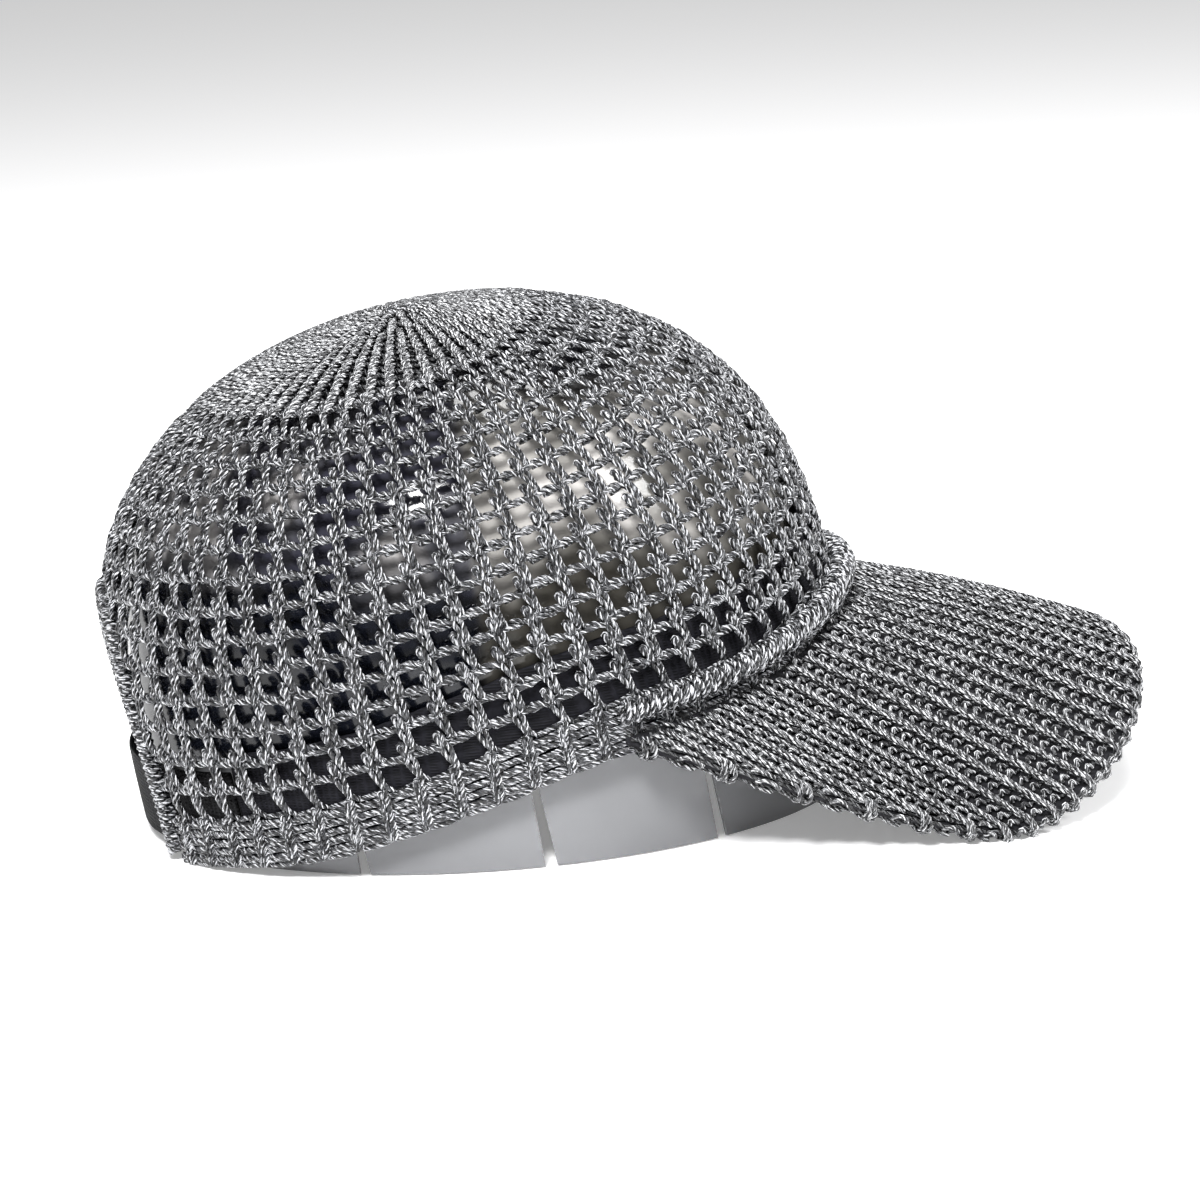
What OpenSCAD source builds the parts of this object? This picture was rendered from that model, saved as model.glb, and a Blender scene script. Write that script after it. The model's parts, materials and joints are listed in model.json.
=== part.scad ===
// Knitted open-mesh cap with a curved brim and an open back, standing on its clear crown former.
// The cap's own frame has its origin at the middle of the hem plane, X to the front and Z up.
// seated() then tips it back until the hem's rear corners and the brim's lowest edge stand on Z = 0.

/* [Crown] */
// Length of the crown at the hem, front to back
hem_len = 188; // [165:1:230]
// Width of the crown at the hem
hem_wid = 152; // [130:1:190]
// Height of the crown above the hem plane
crown_h = 116; // [95:1:140]
// Squareness of the crown's profile, higher is boxier
crown_pow = 3.5; // [2.5:0.1:5]
// Thickness of the knitted wall
knit_t = 3; // [2:0.1:4]
// Rise of the hem at the centre front
front_rise = 18; // [0:0.5:26]
// Rise of the hem over the temples
side_rise = 9; // [0:0.5:14]
// Height of the dense band at the hem
hem_h = 12; // [8:0.5:18]
// Radius of the gathered closure at the top
closure_r = 4.2; // [3:0.1:6]

/* [Back opening] */
// Half width of the arched opening at the hem
arch_half = 32; // [28:1:50]
// Height of the arched opening
arch_h = 68; // [50:1:78]
// Diameter of the rolled trim around the opening
trim_d = 4; // [3:0.1:5]

/* [Sweatband] */
// Height of the sweatband
sweat_h = 28; // [20:1:34]
// Thickness of the sweatband
sweat_t = 1.4; // [1:0.1:2]

/* [Brim] */
// Reach of the brim's tip ahead of the crown
brim_reach = 73; // [50:1:85]
// Half of the brim's width
brim_half = 89; // [80:1:105]
// Drop of the brim's tip below the hem plane
tip_drop = 14; // [5:1:30]
// Drop of the brim's corners below the hem plane
corner_drop = 29; // [15:0.5:36]
// Thickness of the stiff board inside the brim
board_t = 2; // [1.5:0.1:3]
// Thickness of each knitted cover on the brim
cover_t = 1.6; // [1.2:0.1:2.2]
// Diameter of the rolled seam between crown and brim
roll_d = 6; // [4:0.5:7]

/* [Strap] */
// Width of the webbing
strap_w = 20; // [14:1:26]
// Thickness of the webbing
web_t = 0.8; // [0.6:0.1:1.4]
// Thickness of a hook or loop patch
patch_t = 0.4; // [0.3:0.1:1]
// Height of the webbing's lower edge above the hem plane
strap_low = 3.5; // [3:0.5:15]
// Length of webbing sewn to the knit at each side
sewn_len = 18; // [12:1:22]
// Length of the flap's loose end, which carries the hook patch
tip_len = 24; // [16:1:26]

/* [Crown former] */
// Thickness of the clear former's wall
former_t = 0.9; // [0.6:0.1:1.5]
// Clearance between former and strap
former_gap = 0.5; // [0.4:0.1:2]
// Clearance between the former's top and the knit
former_top_gap = 2.5; // [1:0.1:8]
// Number of tabs cut into the former's lower edge
tab_count = 12; // [8:1:16]
// Width of the slit between two tabs
slit_w = 2.4; // [1.5:0.1:4]

/* [Hidden] */
$fn = 64;

sew_gap = 0.1;          // between layers that are sewn together
run_gap = 0.3;          // between pieces that move apart
half_len = hem_len / 2;
half_wid = hem_wid / 2;
wall_out = knit_t / 2;  // offset of the knit's outer face from its middle surface
wall_in = -knit_t / 2;
yarn_charcoal = [0.42, 0.43, 0.45];
yarn_light = [0.56, 0.57, 0.59];
black = [0.06, 0.06, 0.07];

// ---- Curves of the crown ----

temple_deg = 77;        // where the brim ends on each side, from the centre front
rise_end_deg = 95;      // where the front's own rise has died out
side_deg = 85;          // middle of the rise over the temple
side_spread_deg = 28;

// Height of the hem's lower edge at the angle t from the centre front
function hem_edge(t) =
    front_rise * pow(max(0, cos(min(abs(t), rise_end_deg) * 90 / rise_end_deg)), 1.4)
    + side_rise * exp(-pow((abs(t) - side_deg) / side_spread_deg, 2));

function ring_scale(w) = sqrt(max(0, 1 - pow(max(w, 0.000001), crown_pow)));
function ring_height(r) = pow(1 - r * r, 1 / crown_pow);

// Point on the crown: t in degrees, w the height as a share of the crown's, off the offset outwards
function crown_point(t, w, off) = let(r = ring_scale(w))
    [(half_len + off) * r * cos(t), (half_wid + off) * r * sin(t), (crown_h + off) * w];

// The same, with the height given in millimetres
function crown_at(t, z, off) = crown_point(t, z / (crown_h + off), off);

// Angle of the arched opening's edge at the distance d from the centre back, d > 0 towards +Y
function back_deg(d) = 180 - asin(d / half_wid);
arch_deg = back_deg(arch_half);

// Height of the opening's edge, for an opening made smaller by inset
function arch_edge(d, inset) =
    (arch_h - inset) * sqrt(max(0, 1 - pow(d / (arch_half - inset), 2)));

// Lower edge of the open mesh, above the hem band or around the opening
function mesh_edge(t) = abs(t) < arch_deg ? hem_edge(t) + hem_h + sew_gap
    : arch_edge(half_wid * sin(180 - abs(t)), 0);

// ---- Solids from grids of points ----

function flat_list(rows) = [for (row = rows) for (p = row) p];

// Two triangles for the cell between rows i, i + 1 and columns j, k of a grid of n columns
function cell(base, n, i, j, k) = [
    [base + i * n + j, base + (i + 1) * n + j, base + (i + 1) * n + k],
    [base + i * n + j, base + (i + 1) * n + k, base + i * n + k]];
function turned(face) = [for (i = [len(face) - 1:-1:0]) face[i]];

// Closed sheet between an outer and an inner grid. Rows run up and columns run anticlockwise seen
// from above, so the outer grid's cells face out. A wrapped sheet joins its last column to its first,
// and a capped one is closed across its last row.
module sheet(outer, inner, wrapped = false, capped = false) {
    m = len(outer);
    n = len(outer[0]);
    base = m * n;
    last = wrapped ? n - 1 : n - 2;
    t = (m - 1) * n;
    outer_cells = [for (i = [0:m - 2]) for (j = [0:last])
        for (f = cell(0, n, i, j, (j + 1) % n)) f];
    inner_cells = [for (i = [0:m - 2]) for (j = [0:last])
        for (f = cell(base, n, i, j, (j + 1) % n)) turned(f)];
    low = [for (j = [0:last]) let(k = (j + 1) % n)
        for (f = [[j, k, base + k], [j, base + k, base + j]]) f];
    top = [for (j = [0:last]) let(k = (j + 1) % n)
        for (f = [[t + j, t + k, base + t + k], [t + j, base + t + k, base + t + j]]) turned(f)];
    ends = [for (i = [0:m - 2]) let(a = i * n, b = a + n, c = a + n - 1, d = b + n - 1)
        for (f = [[a, base + a, base + b], [a, base + b, b],
                  [d, base + d, base + c], [d, base + c, c]]) f];
    caps = [[for (j = [n - 1:-1:0]) t + j], [for (j = [0:n - 1]) base + t + j]];
    skins = concat(outer_cells, inner_cells, low);
    faces = capped ? concat(skins, caps) : wrapped ? concat(skins, top) : concat(skins, top, ends);
    polyhedron(concat(flat_list(outer), flat_list(inner)), faces, convexity = 8);
}

function unit(v) = v / norm(v);

// Round roll along a path, with its ends flat
module roll_along(path, d, sides = 8) {
    last = len(path) - 1;
    rings = [for (i = [0:last])
        let(run = unit(path[min(i + 1, last)] - path[max(i - 1, 0)]),
            side = unit(cross(run, [0.3, 0.2, 1])), up = cross(side, run))
        [for (k = [0:sides - 1]) let(a = k * 360 / sides)
            path[i] + d / 2 * (cos(a) * side + sin(a) * up)]];
    walls = [for (i = [0:last - 1]) for (k = [0:sides - 1])
        for (f = cell(0, sides, i, k, (k + 1) % sides)) f];
    head = [[for (k = [0:sides - 1]) k]];
    tail = [[for (k = [sides - 1:-1:0]) last * sides + k]];
    polyhedron(flat_list(rings), [for (f = concat(walls, head, tail)) turned(f)], convexity = 8);
}

// ---- Crown pieces ----

// Column angles: the bands' own round the front and sides, closer round the edge of the opening.
// The bands stop just short of the opening's trim.
band_deg = arch_deg - 0.4;
band_cols = [for (i = [0:44]) -band_deg + 2 * band_deg * i / 44];
arch_cols = 24;
crown_cols = concat(band_cols, [for (i = [0:arch_cols]) back_deg(arch_half * cos(i * 180 / arch_cols))]);
break_w = 0.8;          // height share where rows change from level to concentric
low_rows = 7;
top_rows = 6;
closure_scale = (closure_r + 1) / half_wid;

function crown_grid(cols, off) = concat(
    [for (i = [0:low_rows]) [for (t = cols)
        let(low = mesh_edge(t) / (crown_h + off)) crown_point(t, low + (break_w - low) * i / low_rows, off)]],
    [for (i = [1:top_rows]) let(from = ring_scale(break_w),
        r = from + (closure_scale - from) * i / top_rows)
        [for (t = cols) crown_point(t, ring_height(r), off)]]);

module crown_knit()
    color(yarn_charcoal)
    sheet(crown_grid(crown_cols, wall_out), crown_grid(crown_cols, wall_in), wrapped = true);

hem_bulge = 0.4;        // how far the dense hem stands proud of the mesh

// Grid of a band along the hem, from low to high above the hem's own edge
function band_grid(cols, low, high, off) = [for (i = [0:2]) [for (t = cols)
    crown_at(t, hem_edge(t) + low + (high - low) * i / 2, off)]];

module crown_hem()
    color(yarn_charcoal)
    sheet(band_grid(band_cols, 0, hem_h, wall_out + hem_bulge), band_grid(band_cols, 0, hem_h, wall_in));

// The sweatband ends where the straps are sewn on
sweat_out = wall_in - run_gap;
sweat_in = sweat_out - sweat_t;
fold_deg = asin(arch_half / half_wid) + 1.5;     // angle from the centre back where the sewing starts
function arc_deg(length) = length / half_wid * 180 / PI;
end_deg = fold_deg + arc_deg(sewn_len);
sweat_cols = [for (t = band_cols) if (abs(t) < 179 - end_deg) t];

module sweatband()
    color(black)
    sheet(band_grid(sweat_cols, 1, sweat_h, sweat_out), band_grid(sweat_cols, 1, sweat_h, sweat_in));

// The trim follows the opening's edge and starts a little above the hem plane
trim_inset = trim_d / 2 + 0.5;
trim_path = [for (i = [0:36]) let(a = 180 * i / 36, d = (arch_half - trim_inset) * cos(a))
    crown_at(back_deg(d), trim_d / 2 * pow(abs(cos(a)), 40) + arch_edge(d, trim_inset), 0)];

module arch_trim()
    color(yarn_charcoal)
    roll_along(trim_path, trim_d);

module apex_closure()
    color(yarn_light)
    translate([0, 0, crown_h + wall_in])
        rotate_extrude()
            polygon([[0, 0], [closure_r, 0], [closure_r, knit_t - 1], [closure_r - 1, knit_t], [0, knit_t]]);

// ---- Brim ----

brim_lift = 3;          // height of the brim's middle surface above the hem's edge, at the seam
seam_out = wall_out + hem_bulge + sew_gap;
tip_x = half_len + brim_reach;
corner_x = half_len + 0.2 * brim_reach;
tip_half = 0.57 * brim_half;     // reach of the tip's curve to each side
seam_end = crown_at(temple_deg, hem_edge(temple_deg) + brim_lift, seam_out);

function bezier(p, u) = pow(1 - u, 3) * p[0] + 3 * pow(1 - u, 2) * u * p[1]
    + 3 * (1 - u) * u * u * p[2] + pow(u, 3) * p[3];

// The rim on the +Y side: from the tip to the corner, then from the corner back to the temple
front_rim = [[tip_x, 0, -tip_drop], [tip_x, tip_half, -tip_drop],
             [corner_x + 24, brim_half, -corner_drop - 2], [corner_x, brim_half, -corner_drop]];
side_rim = [[corner_x, brim_half, -corner_drop], [corner_x - 26, brim_half, -corner_drop + 8],
            [seam_end.x + 20, seam_end.y + 9, seam_end.z - 8], seam_end];

// Point on the rim at the share q of the way from the tip to the temple
front_share = 0.52;
function rim_half(q) = q < front_share ? bezier(front_rim, q / front_share)
    : bezier(side_rim, (q - front_share) / (1 - front_share));

// s runs across the brim from -1 to 1, v from the seam to the rim
function rim_point(s) = let(q = 0.72 * abs(s) + 0.28 * pow(abs(s), 6), p = rim_half(q))
    [p.x, s < 0 ? -p.y : p.y, p.z];
function seam_point(s) = let(t = s * temple_deg) crown_at(t, hem_edge(t) + brim_lift, seam_out);
brim_crown = 2;         // how far the brim bows up between seam and rim
function brim_mid(s, v) = (1 - v) * seam_point(s) + v * rim_point(s)
    + [0, 0, brim_crown * sin(180 * v) * (1 - s * s)];
function brim_normal(s, v) = let(d = 0.01)
    unit(cross(brim_mid(s, min(v + d, 1)) - brim_mid(s, max(v - d, 0)),
               brim_mid(s + d, v) - brim_mid(s - d, v)));
// The lower layers start further out at the seam, so that they clear the hem
function brim_point(s, v, off) = brim_mid(s, v) + off * brim_normal(s, v)
    + (1 - v) * max(0, -off) * (0.5 + 0.35 * abs(s)) * [cos(s * temple_deg), sin(s * temple_deg), 0];

brim_end = 0.96;        // the layers stop here, short of the point where seam and rim meet
brim_cols = [for (i = [0:32]) brim_end * (2 * i / 32 - 1)];
edge_v = 0.93;          // the board ends here and the covers close over its edge
cover_rows = [0, 0.2, 0.4, 0.6, 0.8, edge_v + 0.01, edge_v + 0.03, 1];
board_rows = [0.02, 0.2, 0.4, 0.6, 0.8, edge_v];

board_out = board_t / 2;
cover_in = board_out + sew_gap;
cover_out = cover_in + cover_t;
fold_in = sew_gap / 2;  // where the two covers meet beyond the board

function brim_grid(rows, off) = [for (v = rows) [for (s = brim_cols) brim_point(s, v, off)]];
function cover_lining(sign) = [for (v = cover_rows) [for (s = brim_cols)
    brim_point(s, v, sign * (v > edge_v + 0.02 ? fold_in : cover_in))]];

module brim_board()
    color("dimgray")
    sheet(brim_grid(board_rows, -board_out), brim_grid(board_rows, board_out));

module brim_upper_cover()
    color(yarn_charcoal)
    sheet(cover_lining(1), brim_grid(cover_rows, cover_out));

module brim_under_cover()
    color(yarn_charcoal)
    sheet(brim_grid(cover_rows, -cover_out), cover_lining(-1));

// Rolled edge of the crown that lies on the brim along the seam
roll_path = [for (i = [0:32]) let(t = temple_deg * brim_end * (i / 16 - 1))
    crown_at(t, hem_edge(t) + brim_lift + cover_out + roll_d / 2 + 1.6, seam_out + roll_d / 2 + sew_gap)];

module brim_seam_roll()
    color(yarn_light)
    roll_along(roll_path, roll_d);

// ---- Strap ----
// Both straps are sewn inside the knit and cross the opening behind its trim. Angles are measured from
// the centre back, and the near side, y < 0, is positive and holds the flap. Offsets are the crown's.

flap_out = -(trim_d / 2 + run_gap + sew_gap);
flap_in = flap_out - web_t;
hook_out = flap_in - sew_gap / 2;
hook_in = hook_out - patch_t;
loop_patch_out = hook_in - run_gap;
loop_patch_in = loop_patch_out - patch_t;
loop_out = loop_patch_in - sew_gap / 2;
loop_in = loop_out - web_t;
seam_off = wall_in - run_gap;                    // outer face of the folded, sewn ends

// The flap bends at the first place where it swings clear of the trim
free_y = arch_half * sqrt(1 - pow((strap_low + strap_w) / arch_h, 2)) - trim_d - 1.8;
free_deg = asin(free_y / half_wid);
peel_deg = arc_deg(3);                           // hinge line of the loose end, near the centre back
tip_end_deg = peel_deg - arc_deg(tip_len);
patch_margin = arc_deg(2);
swing_gap = arc_deg(run_gap);

// Columns of webbing from the angle a to b, each an angle, an outer offset and an inner offset
function span(a, b, outer, inner) = let(n = ceil((b - a) / 3))
    [for (i = [0:n]) [a + (b - a) * i / n, outer, inner]];
function strap_row(cols, z, side) = [for (c = cols) crown_at(c[0] - 180, z, c[side])];

module webbing(cols, w = strap_w) {
    heights = [for (i = [0:2]) strap_low + strap_w / 2 + w * (i - 1) / 2];
    sheet([for (z = heights) strap_row(cols, z, 1)], [for (z = heights) strap_row(cols, z, 2)]);
}

// The loop side lies against the knit where it is sewn and passes under the flap further on
function ease(x) = let(u = max(0, min(1, x))) u * u * (3 - 2 * u);
function loop_face(a) = flap_out + (loop_out - flap_out) * ease((fold_deg + a) / (fold_deg + tip_end_deg - 1));

module strap_loop_side()
    color(black)
    webbing(concat(span(-end_deg, -fold_deg - 0.4, seam_off, flap_in),
        [for (c = span(-fold_deg, peel_deg + arc_deg(8), 0, 0)) [c[0], loop_face(c[0]), loop_face(c[0]) - web_t]]));

module loop_patch()
    color([0.12, 0.12, 0.13])
    webbing(span(tip_end_deg, peel_deg - patch_margin, loop_patch_out, loop_patch_in), strap_w - 3);

module strap_anchor()
    color(black)
    webbing(concat(span(free_deg, fold_deg, flap_out, flap_in),
        span(fold_deg + 0.4, end_deg, seam_off, flap_in)));

module strap_flap_root()
    color(black)
    webbing(span(peel_deg + swing_gap, free_deg - swing_gap, flap_out, flap_in));

module strap_flap_tip()
    color(black)
    webbing(span(tip_end_deg, peel_deg, flap_out, flap_in));

module hook_patch()
    color([0.12, 0.12, 0.13])
    webbing(span(tip_end_deg + patch_margin, peel_deg - patch_margin, hook_out, hook_in), strap_w - 3);

tack_t = 0.5;           // height of the stitching over the webbing
tack_half = arc_deg(0.8);
tack_w = strap_w - 4;

module strap_bar_tacks()
    color("dimgray")
    for (side = [-1, 1]) for (a = [fold_deg + arc_deg(3), end_deg - arc_deg(3)])
        webbing(span(side * a - tack_half, side * a + tack_half, flap_in - sew_gap / 2,
                     flap_in - sew_gap / 2 - tack_t), tack_w);

// ---- Seat: how the cap stands ----

rim_under = [for (i = [0:40]) brim_point(brim_end * i / 40, 1, -cover_out)];
heel_x = crown_at(arch_deg, 0, wall_out + hem_bulge).x;
seat_deg = max([for (p = rim_under) atan2(-p.z, p.x - heel_x)]);

function seated_x(p) = p.x * cos(seat_deg) - p.z * sin(seat_deg);
outer_points = concat(flat_list(crown_grid(crown_cols, wall_out)),
                      [for (p = trim_path) p - [trim_d / 2, 0, 0]],
                      flat_list(brim_grid(cover_rows, cover_out)), rim_under);
seat_mid_x = (max([for (p = outer_points) seated_x(p)]) + min([for (p = outer_points) seated_x(p)])) / 2;
seat_z = -heel_x * sin(seat_deg);

module seated()
    translate([-seat_mid_x, 0, seat_z])
        rotate([0, -seat_deg, 0])
            children();

// ---- Crown former ----

former_off = min(sweat_in, loop_in, flap_in - tack_t) - former_gap;
former_len = half_len + former_off;
former_wid = half_wid + former_off;
former_h = crown_h + wall_in - former_top_gap;
tab_turn = 360 / tab_count;
slit_turn = slit_w / former_wid * 180 / PI;
tab_lift = 0.4;         // the tabs stop this far above the surface

// Height in the cap's frame of the surface that the cap stands on, at the distance x
function floor_z(x) = (tab_lift - seat_z - x * sin(seat_deg)) / cos(seat_deg);
function former_point(t, z, inset) = let(r = ring_scale(z / former_h))
    [(former_len - inset) * r * cos(t), (former_wid - inset) * r * sin(t), z > 0 ? z * (1 - inset / former_h) : z];

// Each tab gives three columns and each slit two; true marks a column in a slit
former_cols = [for (k = [0:tab_count - 1]) let(from = k * tab_turn + slit_turn / 2, step = tab_turn - slit_turn)
    for (c = [[0.0, false], [0.33, false], [0.67, false], [1, false], [1 + 0.25 * slit_turn / step, true],
              [1 + 0.75 * slit_turn / step, true]]) [from + c[0] * step, c[1]]];
slit_top = 4;           // the slits end this far above the hem's edge
function former_low(c) = c[1] ? hem_edge(abs(c[0] > 180 ? c[0] - 360 : c[0])) + slit_top
    : floor_z(former_len * cos(c[0]));
former_rings = [0.92, 0.8, 0.6, 0.35, 0.08];

function former_grid(inset) = concat(
    [for (i = [0:2]) [for (c = former_cols)
        let(low = former_low(c), top = former_h * 0.6) former_point(c[0], low + (top - low) * i / 2, inset)]],
    [for (r = former_rings) [for (c = former_cols)
        former_point(c[0], ring_height(r) * former_h, inset)]]);

module crown_former()
    color([0.85, 0.88, 0.9, 0.35])
    sheet(former_grid(0), former_grid(former_t), wrapped = true, capped = true);

seated() crown_knit();
seated() crown_hem();
seated() arch_trim();
seated() apex_closure();
seated() sweatband();
seated() brim_seam_roll();
seated() brim_board();
seated() brim_upper_cover();
seated() brim_under_cover();
seated() strap_loop_side();
seated() loop_patch();
seated() strap_anchor();
seated() strap_bar_tacks();
seated() strap_flap_root();
seated() strap_flap_tip();
seated() hook_patch();
seated() crown_former();
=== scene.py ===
"""Knitted open-mesh cap on its clear former: every yarn is a real strand laid over the CAD surfaces."""

import bpy
import json
import math
import numpy as np
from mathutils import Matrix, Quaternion, Vector


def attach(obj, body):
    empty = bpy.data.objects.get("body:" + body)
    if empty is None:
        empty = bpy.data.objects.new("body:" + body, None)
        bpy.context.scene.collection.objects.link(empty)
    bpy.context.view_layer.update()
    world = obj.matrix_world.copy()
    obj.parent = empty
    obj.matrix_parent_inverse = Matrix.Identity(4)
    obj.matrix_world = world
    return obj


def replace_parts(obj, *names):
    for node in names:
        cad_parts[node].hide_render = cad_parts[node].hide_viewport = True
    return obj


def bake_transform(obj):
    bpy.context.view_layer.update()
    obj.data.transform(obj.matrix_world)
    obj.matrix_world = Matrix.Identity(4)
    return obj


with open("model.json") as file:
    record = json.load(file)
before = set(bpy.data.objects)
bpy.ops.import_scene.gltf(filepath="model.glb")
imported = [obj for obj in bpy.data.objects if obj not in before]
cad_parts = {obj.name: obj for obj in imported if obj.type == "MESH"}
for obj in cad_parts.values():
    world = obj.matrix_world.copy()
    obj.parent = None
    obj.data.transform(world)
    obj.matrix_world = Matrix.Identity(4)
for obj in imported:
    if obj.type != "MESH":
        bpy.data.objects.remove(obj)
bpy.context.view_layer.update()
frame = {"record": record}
RNG = np.random.default_rng(7)

# ---------------------------------------------------------------- sizes, in millimetres
MM = 0.001
HEM_LEN, HEM_WID, CROWN_H, CROWN_POW = 188.0, 152.0, 116.0, 3.5
FRONT_RISE, SIDE_RISE, HEM_H = 18.0, 9.0, 12.0
RISE_END, SIDE_DEG, SIDE_SPREAD, TEMPLE_DEG = 95.0, 85.0, 28.0, 77.0
ARCH_HALF, ARCH_H, TRIM_D = 32.0, 68.0, 4.0
KNIT_T, HEM_BULGE, SEW_GAP = 3.0, 0.4, 0.1
BRIM_REACH, BRIM_HALF, TIP_DROP, CORNER_DROP = 73.0, 89.0, 14.0, 29.0
BRIM_LIFT, BRIM_CROWN, COVER_OUT, ROLL_D = 3.0, 2.0, 2.7, 6.0
SEAM_OUT = KNIT_T / 2 + HEM_BULGE + SEW_GAP

YARN = 1.36             # diameter of the marled yarn
TILE = 60.0             # length of yarn after which its marl repeats
PLY_TURN = 5.0          # length of one turn of its plies
WALES = 64              # columns of knit round the crown

# ---------------------------------------------------------------- where the cap stands
record = frame["record"]
lift_axis = next(j for j in record["behaviour"]["joints"] if j["name"] == "cap_lift")["axis"]
hem_centre = next(m for m in record["mounts"] if m["name"] == "head_opening")["pos_m"]
SEAT_SIN, SEAT_COS = -lift_axis[0], lift_axis[2]


def seated(points):
    """From the cap's own frame in millimetres to the row frame in metres."""
    x, y, z = points[..., 0], points[..., 1], points[..., 2]
    turned = np.stack([x * SEAT_COS - z * SEAT_SIN, y, x * SEAT_SIN + z * SEAT_COS], -1)
    return turned * MM + np.array(hem_centre)


# ---------------------------------------------------------------- surfaces that the knit follows

def hem_edge(deg):
    deg = np.abs((np.asarray(deg, float) + 180) % 360 - 180)
    front = np.maximum(0, np.cos(np.radians(np.minimum(deg, RISE_END) * 90 / RISE_END))) ** 1.4
    return FRONT_RISE * front + SIDE_RISE * np.exp(-((deg - SIDE_DEG) / SIDE_SPREAD) ** 2)


def ring_scale(w):
    return np.sqrt(np.maximum(0, 1 - np.maximum(w, 1e-6) ** CROWN_POW))


def crown_point(deg, z, off=0.0):
    w = z / (CROWN_H + off)
    r = ring_scale(w)
    t = np.radians(deg)
    x = (HEM_LEN / 2 + off) * r * np.cos(t)
    y = (HEM_WID / 2 + off) * r * np.sin(t)
    return np.stack([x, y, z + 0 * t], -1)


class Surface:
    """A grid of points with their normals. u runs along the rows and v down the columns, both 0 to 1."""

    def __init__(self, points, closed):
        self.points, self.closed = points, closed
        along = np.roll(points, -1, 1) - np.roll(points, 1, 1) if closed else np.gradient(points, axis=1)
        down = np.gradient(points, axis=0)
        normal = np.cross(down, along)
        self.normals = normal / np.maximum(np.linalg.norm(normal, axis=2, keepdims=True), 1e-9)
        self.rows, self.cols = points.shape[:2]

    def _cells(self, u, v):
        v = np.clip(v, 0, 1) * (self.rows - 1)
        i = np.minimum(v.astype(int), self.rows - 2)
        if self.closed:
            u = (u % 1) * self.cols
            j = u.astype(int) % self.cols
            k = (j + 1) % self.cols
        else:
            u = np.clip(u, 0, 1) * (self.cols - 1)
            j = np.minimum(u.astype(int), self.cols - 2)
            k = j + 1
        return i, j, k, (u - np.floor(u) if self.closed else u - j)[..., None], (v - i)[..., None]

    def at(self, u, v, off):
        """Points off millimetres over the surface, and the normals there."""
        i, j, k, fu, fv = self._cells(np.asarray(u, float), np.asarray(v, float))

        def mix(g):
            upper = g[i, j] * (1 - fu) + g[i, k] * fu
            lower = g[i + 1, j] * (1 - fu) + g[i + 1, k] * fu
            return upper * (1 - fv) + lower * fv

        normal = mix(self.normals)
        return mix(self.points) + normal * np.asarray(off, float)[..., None], normal


def smooth(x, low=0.0, high=1.0):
    x = np.clip((x - low) / (high - low), 0, 1)
    return x * x * (3 - 2 * x)


# Crown: v is 0 at the top and 1 on the hem plane, even along each meridian; u is 0 at the front
CROWN_COLS, CROWN_ROWS = 720, 420
crown_deg = np.arange(CROWN_COLS) * 360 / CROWN_COLS


def crown_surface():
    fine_r = np.linspace(0.001, 0.999, 1600)
    fine_z = np.concatenate([CROWN_H * (1 - fine_r ** 2) ** (1 / CROWN_POW), [0.0]])
    length = np.zeros(CROWN_COLS)
    height = np.zeros((CROWN_ROWS, CROWN_COLS))
    for c, deg in enumerate(crown_deg):
        line = crown_point(deg, fine_z)
        run = np.concatenate([[0], np.cumsum(np.linalg.norm(np.diff(line, axis=0), axis=1))])
        length[c] = run[-1]
        height[:, c] = np.interp(np.linspace(0, run[-1], CROWN_ROWS), run, fine_z)
    grid = crown_point(crown_deg[None, :] + 0 * height, height)
    return Surface(grid, True), length, height


crown, crown_len, crown_z = crown_surface()


def crown_level(height_of_deg):
    """v at which each meridian reaches the height given for it."""
    target = height_of_deg(crown_deg)
    rows = np.linspace(0, 1, CROWN_ROWS)
    return np.array([np.interp(-target[c], -crown_z[:, c], rows) for c in range(CROWN_COLS)])


def by_column(values, u):
    x = (np.asarray(u) % 1) * CROWN_COLS
    j = x.astype(int) % CROWN_COLS
    return values[j] * (1 - (x - np.floor(x))) + values[(j + 1) % CROWN_COLS] * (x - np.floor(x))


rib_reach = 43 - 11 * np.cos(np.radians(crown_deg))     # how far from the top the open mesh starts
level_mesh = rib_reach / crown_len
level_hem = crown_level(lambda deg: hem_edge(deg) + HEM_H)
level_edge = crown_level(hem_edge)


def arch_edge_z(y):
    return ARCH_H * np.sqrt(np.maximum(0, 1 - (y / ARCH_HALF) ** 2))


def in_arch(points, margin=0.0):
    """True where a point of the cap's frame lies inside the back opening."""
    inside = np.abs(points[..., 1]) < ARCH_HALF
    return (points[..., 0] < 0) & inside & (points[..., 2] < arch_edge_z(points[..., 1]) - margin)


# ---------------------------------------------------------------- brim
TIP_X = HEM_LEN / 2 + BRIM_REACH
CORNER_X = HEM_LEN / 2 + 0.2 * BRIM_REACH
TIP_HALF = 0.57 * BRIM_HALF
FRONT_SHARE = 0.52


def bezier(p, u):
    u = np.asarray(u)[..., None]
    return (1 - u) ** 3 * p[0] + 3 * (1 - u) ** 2 * u * p[1] + 3 * (1 - u) * u ** 2 * p[2] + u ** 3 * p[3]


seam_end = crown_point(TEMPLE_DEG, hem_edge(TEMPLE_DEG) + BRIM_LIFT, SEAM_OUT)
front_rim = np.array([[TIP_X, 0, -TIP_DROP], [TIP_X, TIP_HALF, -TIP_DROP],
                      [CORNER_X + 24, BRIM_HALF, -CORNER_DROP - 2], [CORNER_X, BRIM_HALF, -CORNER_DROP]])
side_rim = np.array([[CORNER_X, BRIM_HALF, -CORNER_DROP], [CORNER_X - 26, BRIM_HALF, -CORNER_DROP + 8],
                     [seam_end[0] + 20, seam_end[1] + 9, seam_end[2] - 8], seam_end])


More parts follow.
